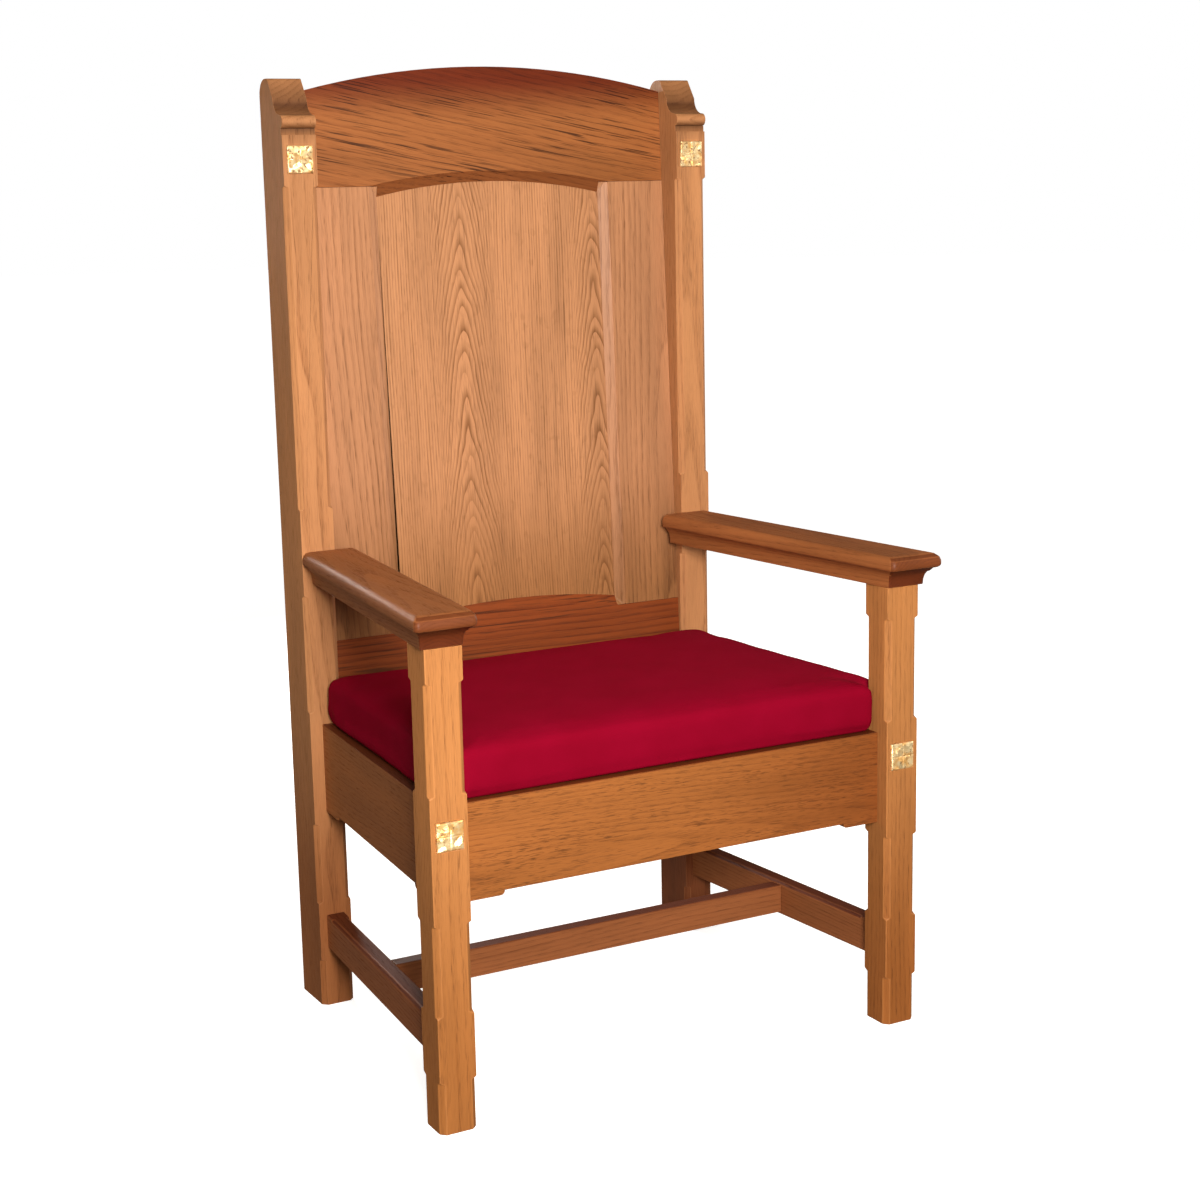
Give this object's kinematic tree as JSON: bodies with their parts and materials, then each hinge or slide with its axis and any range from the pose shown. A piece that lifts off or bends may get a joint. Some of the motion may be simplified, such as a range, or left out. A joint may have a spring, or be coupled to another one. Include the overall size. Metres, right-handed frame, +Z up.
{
  "type": "celebrant chair",
  "caption": "Tall oak sanctuary armchair with a framed and panelled back, arched crest, open moulded arms, an H of stretchers, gilded tiles and a loose crowned cushion.",
  "frame": {"origin": "on the floor, under the middle of the chair's plan", "axes": "+Z up, the chair faces -Y, +X to the viewer's right when facing the chair"},
  "size_m": [0.7616, 0.582, 1.311],
  "materials": {
    "oak": "honey-brown lacquered oak, open grain, satin",
    "gilt": "gold leaf over a hammered ground",
    "plywood": "unfinished birch plywood",
    "beech": "unfinished beech",
    "steel": "zinc plated",
    "crimson_cloth": "matte plain-weave upholstery cloth over foam"
  },
  "bodies": {
    "chair_frame": {"front_leg_left": "oak", "front_leg_right": "oak", "rear_post_left": "oak", "rear_post_right": "oak", "front_seat_rail": "oak", "rear_seat_rail": "oak", "side_seat_rail_left": "oak", "side_seat_rail_right": "oak", "side_stretcher_left": "oak", "side_stretcher_right": "oak", "cross_stretcher": "oak", "arm_left": "oak", "arm_right": "oak", "back_crest_rail": "oak", "back_stile_left": "oak", "back_stile_right": "oak", "back_panel": "oak", "back_bottom_rail": "oak", "gilt_tile_leg_left": "gilt", "gilt_tile_leg_right": "gilt", "gilt_tile_post_left": "gilt", "gilt_tile_post_right": "gilt", "seat_board": "plywood", "corner_block_front_left": "beech", "corner_block_front_right": "beech", "corner_block_rear_left": "beech", "corner_block_rear_right": "beech", "seat_cleat_left": "beech", "seat_cleat_right": "beech", "corner_block_screw_front_left_front_rail": "steel", "corner_block_screw_front_left_side_rail": "steel", "corner_block_screw_front_right_front_rail": "steel", "corner_block_screw_front_right_side_rail": "steel", "corner_block_screw_rear_left_rear_rail": "steel", "corner_block_screw_rear_left_side_rail": "steel", "corner_block_screw_rear_right_rear_rail": "steel", "corner_block_screw_rear_right_side_rail": "steel", "seat_board_screw_front_left": "steel", "seat_board_screw_front_right": "steel", "seat_board_screw_rear_left": "steel", "seat_board_screw_rear_right": "steel", "seat_cleat_screw_left_1": "steel", "seat_cleat_screw_left_2": "steel", "seat_cleat_screw_left_3": "steel", "seat_cleat_screw_right_1": "steel", "seat_cleat_screw_right_2": "steel", "seat_cleat_screw_right_3": "steel"},
    "cushion": {"seat_cushion": "crimson_cloth"}
  },
  "joints": [
    {"name": "cushion_lift", "type": "slide", "parent": "chair_frame", "child": "cushion", "axis": [0, 0, 1], "range_m": [0, 0.11]}
  ]
}
